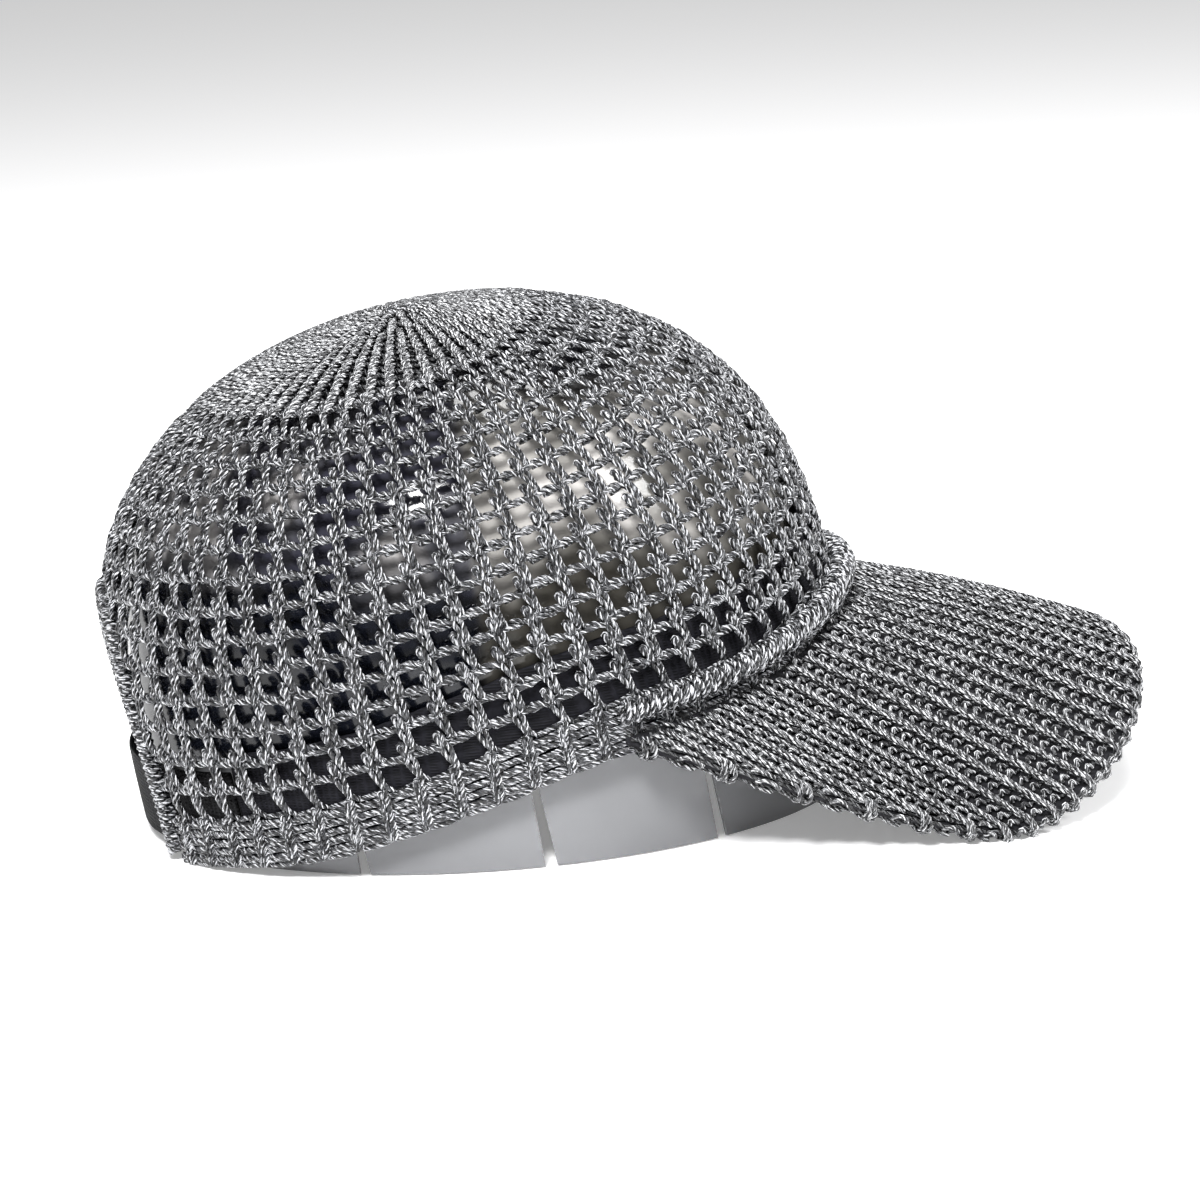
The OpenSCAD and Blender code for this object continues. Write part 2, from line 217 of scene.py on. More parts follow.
def brim_mid(s, v):
    q = 0.72 * np.abs(s) + 0.28 * np.abs(s) ** 6
    front = bezier(front_rim, q / FRONT_SHARE)
    side = bezier(side_rim, (q - FRONT_SHARE) / (1 - FRONT_SHARE))
    mirror = np.stack([1 + 0 * s, np.where(s < 0, -1, 1), 1 + 0 * s], -1)
    rim = np.where((q < FRONT_SHARE)[..., None], front, side) * mirror
    deg = s * TEMPLE_DEG
    seam = crown_point(deg, hem_edge(deg) + BRIM_LIFT, SEAM_OUT)
    v = np.asarray(v)[..., None]
    bow = BRIM_CROWN * np.sin(np.pi * v[..., 0]) * (1 - s * s)
    out = (1 - v) * seam + v * rim
    out[..., 2] += bow
    return out


BRIM_COLS, BRIM_ROWS, FOLD_ROWS = 400, 120, 16
BRIM_END = 0.985
brim_s = np.linspace(-BRIM_END, BRIM_END, BRIM_COLS)


def brim_surface(half):
    """The brim's skin: over the top, round the folded rim and back along the underside.
    Returns it with the length of each column's top."""
    v = np.linspace(0, 1, BRIM_ROWS)
    mid = brim_mid(brim_s[None, :] + 0 * v[:, None], v[:, None] + 0 * brim_s[None, :])
    flat = Surface(mid, False)
    length = np.linalg.norm(np.diff(mid, axis=0), axis=2).sum(0)
    out = mid[-1] - mid[-4]
    out /= np.linalg.norm(out, axis=1, keepdims=True)
    n = flat.normals[-1]
    turn = np.linspace(0, np.pi, FOLD_ROWS + 2)[1:-1]
    centre = mid[-1] - out * half
    fold = np.array([centre + half * (np.cos(a) * n + np.sin(a) * out) for a in turn])
    keep = 1 - half * 1.0 / np.maximum(length, half * 1.2)
    rows = np.clip(v[:, None] * keep[None, :], 0, 1)
    top_mid = brim_mid(brim_s[None, :] + 0 * rows, rows)
    top = top_mid + half * Surface(top_mid, False).normals
    under = (top_mid - half * Surface(top_mid, False).normals)[::-1]
    return Surface(np.concatenate([top, fold, under]), False), length * keep


BRIM_SKIN = COVER_OUT - YARN * 0.8
brim, brim_len = brim_surface(BRIM_SKIN)
BRIM_ALL = brim.rows - 1


def brim_v(u, from_rim):
    """Row of the brim's skin at a distance from the start of the rim's fold: over 0 on the top,
    then round the fold, and past the fold's own length on the underside."""
    length = np.interp(u, np.linspace(0, 1, BRIM_COLS), brim_len)
    fold = math.pi * BRIM_SKIN
    top = (BRIM_ROWS - 1) * (1 - from_rim / length)
    turn = (BRIM_ROWS - 1) + (FOLD_ROWS + 1) * (-from_rim / fold)
    under = BRIM_ROWS + FOLD_ROWS + (BRIM_ROWS - 1) * ((-from_rim - fold) / length)
    row = np.where(from_rim > 0, top, np.where(-from_rim < fold, turn, under))
    return row / BRIM_ALL, length


# ---------------------------------------------------------------- strands of yarn

STRAND_SIDES = 6
END_ORDER = (0, 1, 2, 3, 0, 3, 4, 5)        # two quads that close the end of a six-sided strand
END_UV = np.array([[0.1, 0.1], [0.11, 0.1], [0.11, 0.2], [0.1, 0.2]])


class Strands:
    """Collects round strands and turns them into one mesh with a UV map along the yarn."""

    def __init__(self):
        self.verts, self.quads, self.uvs = [], [], []
        self.count = 0

    def add(self, points, normals, radius):
        """points and normals are (strands, points along, 3) in the cap's frame.
        radius is a number or (strands, points)."""
        if points.ndim == 2:
            points, normals = points[None], normals[None]
        strands, n = points.shape[:2]
        if n < 2 or strands == 0:
            return
        sides = STRAND_SIDES
        run = np.gradient(points, axis=1)
        run /= np.maximum(np.linalg.norm(run, axis=2, keepdims=True), 1e-9)
        side = np.cross(run, normals)
        side /= np.maximum(np.linalg.norm(side, axis=2, keepdims=True), 1e-9)
        up = np.cross(side, run)
        radius = np.broadcast_to(np.asarray(radius, float), (strands, n))[..., None, None]
        angle = np.arange(sides) * 2 * np.pi / sides
        ring = (np.cos(angle)[:, None] * side[..., None, :] + np.sin(angle)[:, None] * up[..., None, :])
        verts = points[..., None, :] + radius * ring
        index = self.count + np.arange(strands * n * sides).reshape(strands, n, sides)
        a, b = index[:, :-1], index[:, 1:]
        quads = np.stack([a, np.roll(a, -1, 2), np.roll(b, -1, 2), b], -1)
        steps = np.linalg.norm(np.diff(points, axis=1), axis=2)
        start = np.concatenate([np.zeros((strands, 1)), np.cumsum(steps, axis=1)], 1)
        start = start + RNG.uniform(0, TILE, (strands, 1))
        u0 = (start[:, :-1] / TILE) % 1
        u1 = u0 + steps / TILE
        over = np.maximum(u1 - 1, 0)
        u0, u1 = (u0 - over)[..., None] + np.zeros(sides), (u1 - over)[..., None] + np.zeros(sides)
        v0 = np.broadcast_to(np.arange(sides) / sides, u0.shape)
        v1 = v0 + 1 / sides
        corners = ((u0, v0), (u0, v1), (u1, v1), (u1, v0))
        uv = np.stack([np.stack(corner, -1) for corner in corners], -2)
        self.verts.append(verts.reshape(-1, 3))
        self.quads.append(quads.reshape(-1, 4))
        self.uvs.append(uv.reshape(-1, 4, 2))
        for ends, order in ((index[:, 0], END_ORDER[::-1]), (index[:, -1], END_ORDER)):
            for cap in (ends[:, order[:4]], ends[:, order[4:]]):
                self.quads.append(cap)
                self.uvs.append(np.broadcast_to(END_UV, (len(cap), 4, 2)))
        self.count += strands * n * sides

    def build(self, name, material, slot, body="cap"):
        verts, quads, uvs = (np.concatenate(part) for part in (self.verts, self.quads, self.uvs))
        return mesh_object(name, verts, quads, uvs, material, body)


def mesh_object(name, verts, quads, uvs, material, body):
    mesh = bpy.data.meshes.new(name)
    mesh.vertices.add(len(verts))
    mesh.vertices.foreach_set("co", seated(verts).astype(np.float32).ravel())
    mesh.loops.add(quads.size)
    mesh.loops.foreach_set("vertex_index", quads.astype(np.int32).ravel())
    mesh.polygons.add(len(quads))
    mesh.polygons.foreach_set("loop_start", np.arange(len(quads), dtype=np.int32) * 4)
    mesh.polygons.foreach_set("use_smooth", np.ones(len(quads), bool))
    mesh.update(calc_edges=True)
    if uvs is not None:
        layer = mesh.uv_layers.new(name="OFBake")
        layer.data.foreach_set("uv", uvs.astype(np.float32).ravel())
    obj = bpy.data.objects.new(name, mesh)
    bpy.context.scene.collection.objects.link(obj)
    mesh.materials.append(material)
    if body:
        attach(obj, body)
    return obj


# ---------------------------------------------------------------- materials

class Nodes:
    """A short way to write node trees."""

    def __init__(self, name):
        self.material = bpy.data.materials.new(name)
        self.material.use_nodes = True
        self.tree = self.material.node_tree
        self.tree.nodes.clear()
        self.output = self.new("ShaderNodeOutputMaterial")

    def new(self, kind, **values):
        node = self.tree.nodes.new(kind)
        for key, value in values.items():
            if hasattr(node, key) and key not in node.inputs:
                setattr(node, key, value)
            else:
                node.inputs[key].default_value = value
        return node

    def link(self, source, target):
        self.tree.links.new(source, target)
        return target.node

    def math(self, operation, a, b=None):
        node = self.new("ShaderNodeMath", operation=operation)
        for socket, value in zip(node.inputs, (a, b)):
            if value is None:
                continue
            if isinstance(value, (int, float)):
                socket.default_value = value
            else:
                self.link(value, socket)
        return node.outputs[0]

    def ramp(self, factor, stops):
        node = self.new("ShaderNodeValToRGB")
        while len(node.color_ramp.elements) < len(stops):
            node.color_ramp.elements.new(0.5)
        for element, (place, colour) in zip(node.color_ramp.elements, stops):
            element.position = place
            element.color = (*colour, 1) if len(colour) == 3 else (colour[0],) * 3 + (1,)
        self.link(factor, node.inputs[0])
        return node.outputs[0]

    def step(self, value, low, high):
        """0 below low, 1 above high and smooth between."""
        node = self.new("ShaderNodeMapRange", interpolation_type="SMOOTHSTEP")
        self.link(value, node.inputs["Value"])
        node.inputs["From Min"].default_value = low
        node.inputs["From Max"].default_value = high
        return node.outputs[0]

    def mix(self, factor, a, b):
        node = self.new("ShaderNodeMix", data_type="RGBA")
        self.link(factor, node.inputs[0])
        for socket, value in ((node.inputs[6], a), (node.inputs[7], b)):
            if isinstance(value, tuple):
                socket.default_value = (*value, 1)
            else:
                self.link(value, socket)
        return node.outputs[2]

    def bump(self, height, strength, distance):
        node = self.new("ShaderNodeBump", Strength=strength, Distance=distance)
        self.link(height, node.inputs["Height"])
        return node.outputs["Normal"]

    def finish(self, shader):
        self.link(shader.outputs[0], self.output.inputs["Surface"])
        return self.material


def yarn_material(name, dark, mid, light):
    """Marled yarn: plies twist round it, each with bright and dark flecks drawn out along its own helix;
    the grooves between the plies carry painted shade.
    """
    n = Nodes(name)
    uv = n.new("ShaderNodeUVMap", uv_map="OFBake")
    split = n.new("ShaderNodeSeparateXYZ")
    n.link(uv.outputs[0], split.inputs[0])
    along = n.math("MULTIPLY", split.outputs[0], TILE)
    twist = n.math("MULTIPLY", split.outputs[0], 2 * math.pi * round(TILE / PLY_TURN))
    angle = n.math("ADD", n.math("MULTIPLY", split.outputs[1], 2 * math.pi), twist)
    place = n.new("ShaderNodeCombineXYZ")
    n.link(n.math("MULTIPLY", n.math("COSINE", angle), 0.9), place.inputs[0])
    n.link(n.math("MULTIPLY", n.math("SINE", angle), 0.9), place.inputs[1])
    n.link(n.math("MULTIPLY", along, 0.38), place.inputs[2])
    fleck = n.new("ShaderNodeTexNoise", Scale=1.3, Detail=1.5, Roughness=0.5)
    n.link(place.outputs[0], fleck.inputs["Vector"])
    ply = n.math("SINE", n.math("MULTIPLY", angle, 3.0))
    # The ply wave shifts the colour too: ply crests painted lighter, the grooves between plies painted
    # darker as painted shade.
    level = n.math("ADD", fleck.outputs["Fac"], n.math("MULTIPLY", ply, 0.05))
    colour = n.ramp(level, [(0.435, dark), (0.49, mid), (0.53, mid), (0.585, light)])
    shader = n.new("ShaderNodeBsdfPrincipled", Roughness=0.34)
    shader.inputs["Specular IOR Level"].default_value = 0.75
    n.link(colour, shader.inputs["Base Color"])
    height = n.math("ADD", ply, n.math("MULTIPLY", fleck.outputs["Fac"], 2.0))
    n.link(n.bump(height, 1.0, 0.0005), shader.inputs["Normal"])
    return n.finish(shader)


yarn = yarn_material("marled_yarn", (0.003, 0.003, 0.004), (0.048, 0.050, 0.057), (0.74, 0.75, 0.78))
# Lit and shaded copies of the one yarn: a copy painted lighter as if lit for the raised chains and ribs,
# and a copy painted darker as painted shade for the sunken rungs between them; the real cap has one yarn.
yarn_painted_lit = yarn_material("marled_yarn_painted_lit",
                            (0.012, 0.012, 0.014), (0.15, 0.153, 0.162), (0.86, 0.87, 0.89))
yarn_painted_shade = yarn_material("marled_yarn_painted_shade",
                            (0.002, 0.002, 0.003), (0.016, 0.017, 0.020), (0.22, 0.225, 0.235))


def cloth_material(name, colour, scale, strength=0.5):
    """Closely woven dark cloth: two crossed sets of fine ribs."""
    n = Nodes(name)
    coords = n.new("ShaderNodeTexCoord")
    wave_a = n.new("ShaderNodeTexWave", Scale=scale, Distortion=0.6, wave_type="BANDS", bands_direction="Z")
    wave_b = n.new("ShaderNodeTexWave", Scale=scale, Distortion=0.6, wave_type="BANDS", bands_direction="Y")
    for wave in (wave_a, wave_b):
        n.link(coords.outputs["Object"], wave.inputs["Vector"])
    weave = n.math("MAXIMUM", wave_a.outputs["Fac"], wave_b.outputs["Fac"])
    noise = n.new("ShaderNodeTexNoise", Scale=900.0, Detail=3.0)
    n.link(coords.outputs["Object"], noise.inputs["Vector"])
    level = n.math("MULTIPLY", weave, noise.outputs["Fac"])
    shader = n.new("ShaderNodeBsdfPrincipled", Roughness=0.8)
    shader.inputs["Specular IOR Level"].default_value = 0.2
    shadow = tuple(c * 0.4 for c in colour)
    lit = tuple(min(1, c * 1.7) for c in colour)
    n.link(n.ramp(level, [(0.1, shadow), (0.7, lit)]), shader.inputs["Base Color"])
    n.link(n.bump(weave, strength, 0.0003), shader.inputs["Normal"])
    return n.finish(shader)


def clear_material():
    """Thermoformed clear sheet, painted nearly opaque with soft patches of painted reflection and painted
    shade: painted dark shade towards the back, low down and over the top, warm-grey painted reflection at
    the front, blue-grey painted reflection with light painted highlights higher up, and clear at the tabs
    below the hem."""
    n = Nodes("clear_sheet")
    coords = n.new("ShaderNodeTexCoord")
    split = n.new("ShaderNodeSeparateXYZ")
    n.link(coords.outputs["Object"], split.inputs[0])
    ripple = n.new("ShaderNodeTexNoise", Scale=28.0, Detail=2.0, Distortion=0.8)
    n.link(coords.outputs["Object"], ripple.inputs["Vector"])
    painted_gleam_noise = n.new("ShaderNodeTexNoise", Scale=42.0, Detail=1.0)
    n.link(coords.outputs["Object"], painted_gleam_noise.inputs["Vector"])
    wobble = n.math("MULTIPLY", n.math("SUBTRACT", ripple.outputs["Fac"], 0.5), 0.03)
    # The front mask: painted dark shade towards the back, warm-grey painted reflection towards the front.
    front = n.step(n.math("ADD", split.outputs[0], n.math("MULTIPLY", wobble, 0.2)), -0.048, -0.044)
    # The height mask: painted shade low down, painted reflections higher up.
    high = n.step(n.math("ADD", split.outputs[2], wobble), 0.066, 0.078)
    painted_low_shade = n.mix(front, (0.006, 0.007, 0.011), (0.045, 0.042, 0.036))
    # Higher up: a blue-grey painted reflection with light painted highlights at the back, and a lighter
    # warm painted reflection at the front.
    painted_slate_reflection = n.ramp(painted_gleam_noise.outputs["Fac"], [(0.46, (0.03, 0.03, 0.042)), (0.56, (0.07, 0.07, 0.078)),
                                          (0.66, (0.40, 0.385, 0.38))])
    painted_pale_reflection = n.ramp(painted_gleam_noise.outputs["Fac"], [(0.40, (0.13, 0.125, 0.115)), (0.52, (0.28, 0.27, 0.255)),
                                         (0.64, (0.55, 0.53, 0.51))])
    painted_high_reflection = n.mix(front, painted_slate_reflection, painted_pale_reflection)
    body = n.mix(high, painted_low_shade, painted_high_reflection)
    # Painted dark shade over the top of the sheet, under the crown's close rib.
    top_shade_mask = n.step(n.math("ADD", split.outputs[2], wobble), 0.104, 0.118)
    body = n.mix(top_shade_mask, body, (0.012, 0.012, 0.015))
    tab = n.step(n.math("ADD", split.outputs[2], n.math("MULTIPLY", split.outputs[0], -0.02)), 0.026, 0.030)
    shader = n.new("ShaderNodeBsdfPrincipled", Roughness=0.12)
    shader.inputs["IOR"].default_value = 1.5
    shader.inputs["Specular IOR Level"].default_value = 0.35
    # The tabs below the hem stay a plainer grey and clearer; above them the painted shade and reflections
    # are kept nearly opaque so they stay dark.
    n.link(n.mix(tab, (0.20, 0.203, 0.212), body), shader.inputs["Base Color"])
    n.link(n.math("ADD", n.math("MULTIPLY", tab, 0.25), 0.72), shader.inputs["Alpha"])
    n.link(n.bump(ripple.outputs["Fac"], 0.25, 0.004), shader.inputs["Normal"])
    return n.finish(shader)


cloth_black = cloth_material("sweatband_cloth", (0.007, 0.007, 0.010), 420.0)
webbing = cloth_material("black_webbing", (0.009, 0.009, 0.010), 300.0, 0.8)
pile = cloth_material("hook_loop_pile", (0.014, 0.014, 0.016), 700.0, 0.9)
thread = cloth_material("black_thread", (0.03, 0.03, 0.033), 900.0)
board_plastic = cloth_material("board_grey", (0.008, 0.008, 0.010), 200.0, 0.2)
clear_sheet = clear_material()

# ---------------------------------------------------------------- knit of the crown
LOOP_STEPS = 12
RIB_COURSES = 15
APEX_R = 3.2            # where the innermost course runs round the closure


def loop_path(tau, width, swell, height, depth):
    """One knitted stitch over tau = 0 to 2 pi: along the course, up the wale and out of the fabric."""
    x = width * (tau / (2 * np.pi) - 0.5) + swell * np.sin(2 * tau)
    return x, -height / 2 * np.cos(tau), -depth * np.cos(2 * tau)


def jitter(shape, size):
    return RNG.normal(0, size, shape)


def chain_leg(side, inner, outer):
    """One leg of a chain stitch: across the rib, along it in courses, and out of the fabric."""
    share = np.linspace(0, 1, 5)
    return side * (inner + (outer - inner) * share), -0.85 + 1.7 * share, 1.25 - 1.15 * share ** 2


LEG_TAPER = 1 - 0.35 * np.linspace(-1, 1, 5) ** 4


def wales_left(pitch):
    """Wales at this spacing: towards the top they join in pairs."""
    for joined, least in ((1, 1.7), (2, 0.85), (4, 0.45)):
        if pitch > least:
            return WALES // joined
    return WALES // 8


def rib_zone():
    """Close rib from the open mesh up to the top: raised chains over sunken rungs.
    Returns the strands of the chains and of the rungs."""
    chains, rungs = Strands(), Strands()
    for k in range(RIB_COURSES):
        share = (k + 0.3) / RIB_COURSES
        mean_reach = rib_reach.mean() * (1 - share) + APEX_R * share
        pitch = 2 * math.pi * mean_reach / WALES
        wales = wales_left(pitch)
        real_pitch = pitch * WALES / wales
        size = min(1.0, real_pitch / 3.0)
        wale = np.arange(wales)[:, None]
        for side in (-1, 1):
            x, y, n = chain_leg(side, 0.16 * size, 0.78 * size)
            u = (wale + (x[None, :] + jitter((wales, 1), 0.06 * size)) / real_pitch) / wales
            points, normals = rib_point(u, share, y[None, :] + jitter((wales, 1), 0.08), n[None, :] + 0 * u)
            chains.add(points, normals, YARN * 0.46 * (0.5 + 0.5 * size) * LEG_TAPER)
        u = np.arange(4 * wales + 1) / (4 * wales)
        swing = 2 * np.pi * wales * u
        points, normals = rib_point(u, share, 0.2 * np.sin(swing), -0.75 + 0.3 * np.cos(swing))
        rungs.add(points, normals, YARN / 2 * (0.5 + 0.5 * size))
    return chains, rungs


def rib_point(u, share, up, off):
    """A place in the rib: share of the way to the top, up courses further, off millimetres out."""
    reach = by_column(rib_reach, u)
    dist = reach * (1 - share) + APEX_R * share - up * (reach - APEX_R) / RIB_COURSES
    return crown.at(u, dist / by_column(crown_len, u), off)


def apex_coil():
    """The gathered top: yarn coiled in on itself over the closure."""
    turn = np.linspace(0, 4.2 * 2 * np.pi, 110)
    radius = 3.4 - 3.0 * turn / turn[-1]
    rise = CROWN_H + 0.5 + 0.7 * np.sin(np.pi * turn / turn[-1]) + 0.15 * np.sin(turn * 5)
    points = np.stack([radius * np.cos(turn), radius * np.sin(turn), rise], -1)
    strands = Strands()
    strands.add(points, np.tile([0.0, 0.0, 1.0], (len(turn), 1)), YARN * 0.42)
    return strands


MESH_ROWS = 14
ROPE_SLANT = 0.16       # fall of a rope between two wales, as a share of a row
WALE_LEAN = 0.36        # sideways lean of the stitches between two rows


def row_level(u, row):
    """v of a place row rows down the open mesh."""
    low, high = by_column(level_mesh, u), by_column(level_hem, u)
    share = np.clip(row / MESH_ROWS, -0.05, 1.05)
    return low + (high - low) * share


def split_where(keep, *arrays):
    """Cuts a run of points into the stretches where keep is true."""
    edges = np.flatnonzero(np.diff(np.concatenate([[0], keep.astype(int), [0]])))
    for a, b in zip(edges[::2], edges[1::2]):
        if b - a >= 3:
            yield [array[a:b] for array in arrays]


def wale_pitch(wale, row):
    """Distance between neighbouring wales at a row."""
    left, right = (wale - 0.5) / WALES, (wale + 0.5) / WALES
    a = crown.at(left, row_level(left, row), 0 * left)[0]
    b = crown.at(right, row_level(right, row), 0 * right)[0]
    return np.linalg.norm(b - a, axis=-1)


# The three courses of a mesh row. The first two are strands of the rope that falls from wale to wale;
# the third makes the tall stitch of the wale and the thin strand that rises behind the rope.
# Each has: base and height of its stitch as shares of a row, its width, depth, and share of the pitch
# over which it runs into the rope.
MESH_COURSES = ({"base": 0.38, "height": 0.60, "width": 2.0, "front": 0.30, "run": 0.24},
                {"base": 0.50, "height": 0.24, "width": 1.6, "front": -0.35, "run": 0.24},
                {"base": -0.46, "height": 1.02, "width": 2.5, "front": 0.45, "run": 0.24})


def mesh_course(row, course):
    spec = MESH_COURSES[course]
    tau = np.linspace(0, 2 * np.pi, LOOP_STEPS + 1)[None, :]
    along = ((np.arange(7) + 0.5) / 7)[None, :]
    wale = np.arange(WALES)[:, None]
    middle = row + 0.5
    pitch = wale_pitch(wale, middle)
    row_mm = (row_level(wale / WALES, middle + 0.5) - row_level(wale / WALES, middle - 0.5)) \
        * by_column(crown_len, wale / WALES)
    width = spec["width"] * np.minimum(1, pitch / 8.5)
    height = spec["height"] * row_mm
    base = spec["base"] * row_mm
    x, y, n = loop_path(tau, width, 0.24 * width, height, 0.5)
    fx = width / 2 + along * (pitch - width)
    x = np.concatenate([x, fx], 1)
    y = np.concatenate([base + height / 2 + y, base + 0 * fx], 1)
    n = np.concatenate([n + 0 * width, -0.5 + 0 * fx], 1) + spec["front"]
    near = np.minimum(np.abs(x), np.abs(pitch - x))
    gather = smooth(near, 0.30 * width, 0.30 * width + spec["run"] * pitch)
    share = np.where(x < 0, 1 + x / pitch, x / pitch)
    slant = ROPE_SLANT * np.clip(1.25 - 0.6 * row / MESH_ROWS, 0, 1) * row_mm
    if course < 2:
        turn = np.pi * course + 1.2 * 2 * np.pi * share
        line = 0.5 * row_mm + slant * (0.5 - share) + 0.62 * np.cos(turn)
        depth = 0.25 + 0.55 * np.sin(turn)
    else:
        line = -0.5 * row_mm - 0.8 * slant * (0.5 - share) - 0.5
        depth = -0.75 + 0 * share
    y = y * (1 - gather) + line * gather + jitter((WALES, 1), 0.17)
    n = n * (1 - gather) + depth * gather + jitter((WALES, 1), 0.12)
    x = x - WALE_LEAN * y * (1 - gather) + jitter((WALES, 1), 0.12)
    u = ((wale + x / pitch) / WALES).ravel()
    sway = 0.35 * np.sin(2 * np.pi * 7 * u + row * 1.3) + 0.25 * np.sin(2 * np.pi * 17 * u - row * 2.1)
    v = row_level(u, middle) - (y.ravel() + sway) / by_column(crown_len, u)
    u, v, n = np.append(u, u[0] + 1), np.append(v, v[0]), np.append(n.ravel(), n.ravel()[0])
    return crown.at(u, v, n + 0.1)


def mesh_zone():
    zones = []
    for row in range(MESH_ROWS):
        if row % 4 == 0:
            strands = Strands()
            zones.append(strands)
        for course in range(3):
            points, normals = mesh_course(row, course)
            keep = ~in_arch(points, 0.5)
            for run in split_where(keep, points, normals):
                strands.add(run[0], run[1], YARN / 2 * (0.82 + 0.2 * row / MESH_ROWS))
    return zones


HEM_COURSES = 11


def hem_band():
    """Dense band under the mesh: floats lie side by side, crossed by the last stitches of each wale."""
    strands = Strands()
    tau = np.linspace(0, 2 * np.pi, LOOP_STEPS + 1)
    along = (np.arange(5) + 0.5) / 5
    for k in range(HEM_COURSES):
        wale = np.arange(WALES)[:, None]
        width = 2.7
        mid_u = wale / WALES
        mid_v = by_column(level_hem, mid_u)
        pitch = np.linalg.norm(crown.at(mid_u + 0.5 / WALES, mid_v, 0 * mid_u)[0]
                               - crown.at(mid_u - 0.5 / WALES, mid_v, 0 * mid_u)[0], axis=-1)
        x, y, n = loop_path(tau[None, :], width + 0 * pitch, 0.45, 1.9, 0.40)
        fx = width / 2 + along[None, :] * (pitch - width)
        fy = -0.95 + 0.5 * np.sin(np.pi * along)[None, :] * (1 if k % 2 else -0.3) + 0 * pitch
        x = np.concatenate([x, fx], 1)
        y = np.concatenate([y + 0 * pitch, fy], 1) + jitter((WALES, 1), 0.12)
        n = np.concatenate([n + 0 * pitch, -0.55 + 0.35 * np.sin(np.pi * along)[None, :] + 0 * pitch], 1)
        n = n + jitter((WALES, 1), 0.1)
        u = ((wale + x / pitch) / WALES).ravel()
        top, edge = by_column(level_hem, u), by_column(level_edge, u)
        v = top + (edge - top) * (k + 0.4) / HEM_COURSES - y.ravel() / by_column(crown_len, u)
        points, normals = crown.at(u, np.minimum(v, 0.999), n.ravel() + 0.5)
        keep = ~in_arch(points, -0.3)
        for run in split_where(keep, points, normals):
            strands.add(run[0], run[1], YARN / 2)
    return strands


# ---------------------------------------------------------------- knit of the brim
BRIM_WALES = 40
BRIM_COURSE = 3.0


def brim_knit(first, last):
    """Rib that runs forward over the brim. Courses are numbered from the rim, upwards over the top
    and below zero round the fold and along the underside. Returns raised and sunken strands."""
    raised, sunken = Strands(), Strands()
    wale = np.arange(BRIM_WALES)[:, None]
    along = np.linspace(0, 1, 6)
    arc = 0.5 * np.sin(np.pi * along)
    purl = (0.5 + 0.32 * (along - 0.5), arc - 0.3, arc)
    stitches = [(chain_leg(side, 0.02, 0.09), LEG_TAPER * 0.40) for side in (-1, 1)] + [(purl, 0.38)]
    for k in range(first, last):
        for (x, y, n), thickness in stitches:
            u = (wale + 0.15 + x[None, :] + jitter((BRIM_WALES, 1), 0.012)) / BRIM_WALES
            up = y[None, :] + jitter((BRIM_WALES, 1), 0.06)
            off = n[None, :] + jitter((BRIM_WALES, 1), 0.06) + 0.5
            points, normals, keep = brim_place(u, k + 0.5 + up, off)
            keep = keep.all(axis=1)
            raised.add(points[keep], normals[keep], YARN * thickness)
        u = np.arange(6 * BRIM_WALES + 1) / (6 * BRIM_WALES)
        swing = 2 * np.pi * (BRIM_WALES * u - 0.15)
        course, off = k + 0.5 + 0.15 * np.sin(2 * swing), 0.05 + 0.2 * np.cos(2 * swing)
        points, normals, keep = brim_place(u, course, off)
        for run in split_where(keep, points, normals):
            sunken.add(run[0], run[1], YARN * 0.34)
    return raised, sunken


def brim_place(u, course, off):
    """Points of the brim's rib, their normals, and whether each lies short of the seam."""
    from_rim = course * BRIM_COURSE
    v, length = brim_v(u, from_rim)
    points, normals = brim.at(u, v, off)
    return points, normals, (from_rim < length - 0.5) & (-from_rim - math.pi * BRIM_SKIN < length - 0.5)


# ---------------------------------------------------------------- rolled edges

def wrapped_roll(path, normals, radius, pitch, strand=YARN / 2, hands=(1, -1)):
    """Two sets of yarn wound round a path, one each way, as a knitted edge that has rolled over itself."""
    strands = Strands()
    steps = np.linalg.norm(np.diff(path, axis=0), axis=1)
    run = np.concatenate([[0], np.cumsum(steps)])
    per_turn = 12
    count = int(run[-1] / pitch * per_turn)
    place = np.linspace(0, run[-1], count)
    centre = np.stack([np.interp(place, run, path[:, c]) for c in range(3)], -1)
    normal = np.stack([np.interp(place, run, normals[:, c]) for c in range(3)], -1)
    tangent = np.gradient(centre, axis=0)
    tangent /= np.linalg.norm(tangent, axis=1, keepdims=True)
    side = np.cross(tangent, normal)
    side /= np.linalg.norm(side, axis=1, keepdims=True)
    up = np.cross(side, tangent)
    for hand, level in zip(hands, (0.0, 0.25)):
        angle = hand * np.arange(count) * 2 * np.pi / per_turn
        reach = (radius - strand + level + jitter(count, 0.05))[:, None]
        points = centre + reach * (np.cos(angle)[:, None] * side + np.sin(angle)[:, None] * up)
        strands.add(points, tangent, strand)
    return strands


def ring_cap(ring):
    """Quads that close a ring of points, laid across it as a ladder."""
    last = len(ring) - 1
    return np.array([[ring[i], ring[i + 1], ring[last - 1 - i], ring[last - i]] for i in range(last // 2)])


def closed_grid(rows):
    """Points and faces of a row of closed sections, (columns, section points, 3), closed at both ends."""
    columns, around = rows.shape[:2]
    index = np.arange(columns * around).reshape(columns, around)
    a, b = index[:-1], index[1:]
    quads = [np.stack([a, b, np.roll(b, -1, 1), np.roll(a, -1, 1)], -1).reshape(-1, 4)]
    quads += [ring_cap(index[0]), ring_cap(index[-1])[:, ::-1]]
    return rows.reshape(-1, 3), np.concatenate(quads)


